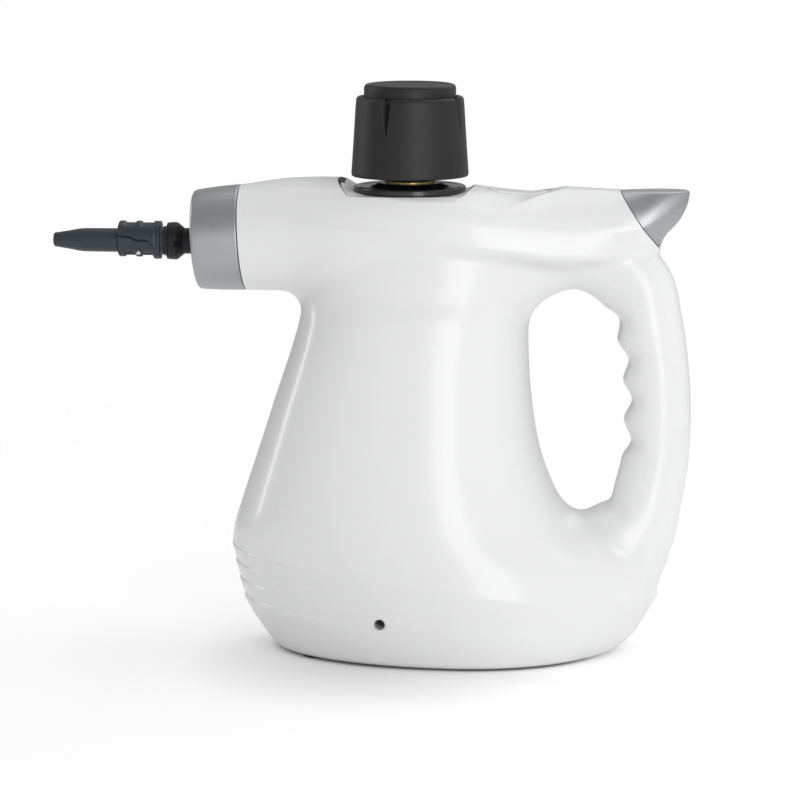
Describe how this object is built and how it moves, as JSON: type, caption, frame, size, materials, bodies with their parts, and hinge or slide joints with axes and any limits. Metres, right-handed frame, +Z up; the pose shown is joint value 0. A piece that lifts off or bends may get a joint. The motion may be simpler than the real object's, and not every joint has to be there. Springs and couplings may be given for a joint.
{
  "type": "handheld steam cleaner",
  "caption": "Handheld steam cleaner: glossy two-part housing with a loop handle around an upright boiler, press-and-turn filler cap, thumb steam button and bayonet jet nozzle.",
  "frame": {"origin": "on the table, under the middle of the whole length and width", "axes": "+Z up, nozzle towards -X, handle towards +X, the housing's joint plane at Y = 0"},
  "size_m": [0.2692, 0.117, 0.2374],
  "materials": {
    "white_gloss": "glossy moulded",
    "silver_trim": "satin metallic",
    "black_gloss": "glossy moulded",
    "black_matt": "fine grain",
    "slate_plastic": "satin moulded",
    "charcoal_grain": "fine spark grain",
    "grey_plastic": "plain moulded",
    "brass": "turned",
    "cast_aluminium": "as cast",
    "bright_steel": "plated",
    "spring_steel": "drawn wire",
    "heater_steel": "annealed",
    "red_silicone": "moulded",
    "black_rubber": "moulded",
    "brown_phenolic": "moulded",
    "cream_ceramic": "fired",
    "clear_hose": "drawn",
    "brown_wire": "insulated"
  },
  "bodies": {
    "housing": {"left_shell": "white_gloss", "right_shell": "white_gloss", "button_well": "white_gloss", "nose_ring": "silver_trim", "rear_trim": "silver_trim", "filler_dish": "black_gloss", "outlet_connector": "black_matt", "nozzle_collar": "slate_plastic", "filler_neck": "brass", "valve_body": "brass", "boiler_base": "cast_aluminium", "boiler_top": "cast_aluminium", "boiler_bolts": "bright_steel", "lever_bracket": "bright_steel", "lever_pin": "bright_steel", "shell_screw": "bright_steel", "valve_spring": "spring_steel", "button_spring": "spring_steel", "heating_element": "heater_steel", "boiler_gasket": "red_silicone", "rubber_feet": "black_rubber", "cord_gland": "black_rubber", "boiler_stand": "brown_phenolic", "thermostat": "brown_phenolic", "thermal_cutout": "cream_ceramic", "steam_pipe": "clear_hose", "mains_wires": "brown_wire"},
    "cap_seat": {"cap_gasket": "black_rubber"},
    "cap_core": {"cap_core": "grey_plastic", "cap_plug": "brass", "cap_spring": "spring_steel", "relief_spring": "spring_steel"},
    "cap_grip": {"cap_shell": "charcoal_grain", "cap_disc": "charcoal_grain"},
    "relief": {"relief_poppet": "brass"},
    "jet_carrier": {"jet_seal": "red_silicone"},
    "jet": {"jet_nozzle": "slate_plastic"},
    "button": {"steam_button": "white_gloss"},
    "lever": {"valve_lever": "grey_plastic"},
    "stem": {"valve_stem": "bright_steel"}
  },
  "joints": [
    {"name": "cap_rise", "type": "slide", "parent": "housing", "child": "cap_seat", "axis": [0, 0, 1], "range_m": [0, 0.0096]},
    {"name": "cap_turn", "type": "hinge", "parent": "cap_seat", "child": "cap_core", "pos_m": [0.0168, 0, 0.19], "axis": [0, 0, 1], "range_deg": [0, 1080]},
    {"name": "cap_press", "type": "slide", "parent": "cap_core", "child": "cap_grip", "axis": [0, 0, -1], "range_m": [0, 0.0025], "stiffness_N_per_m": 900, "springref_m": -0.004, "deforming": ["cap_spring"]},
    {"name": "relief_lift", "type": "slide", "parent": "cap_core", "child": "relief", "axis": [0, 0, 1], "range_m": [0, 0.0015], "stiffness_N_per_m": 1200, "springref_m": -0.004, "deforming": ["relief_spring"]},
    {"name": "jet_draw", "type": "slide", "parent": "housing", "child": "jet_carrier", "axis": [-1, 0, 0], "range_m": [0, 0.004]},
    {"name": "jet_twist", "type": "hinge", "parent": "jet_carrier", "child": "jet", "pos_m": [-0.0932, 0, 0.1706], "axis": [-1, 0, 0], "range_deg": [0, 60]},
    {"name": "button_press", "type": "slide", "parent": "housing", "child": "button", "axis": [0, 0, -1], "range_m": [0, 0.003], "stiffness_N_per_m": 500, "springref_m": -0.004, "deforming": ["button_spring"]},
    {"name": "lever_tip", "type": "hinge", "parent": "housing", "child": "lever", "pos_m": [0.0338, 0, 0.1718], "axis": [0, 1, 0], "range_deg": [0, 6.3]},
    {"name": "valve_open", "type": "slide", "parent": "housing", "child": "stem", "axis": [0, 0, -1], "range_m": [0, 0.0015], "deforming": ["valve_spring"]}
  ],
  "couplings": [
    {"joint": "cap_rise", "follows": "cap_turn", "m_per_rad": 0.0005093},
    {"joint": "jet_twist", "follows": "jet_draw", "rad_per_m": 261.8},
    {"joint": "lever_tip", "follows": "button_press", "rad_per_m": 35.714},
    {"joint": "valve_open", "follows": "button_press", "ratio": 0.5}
  ]
}
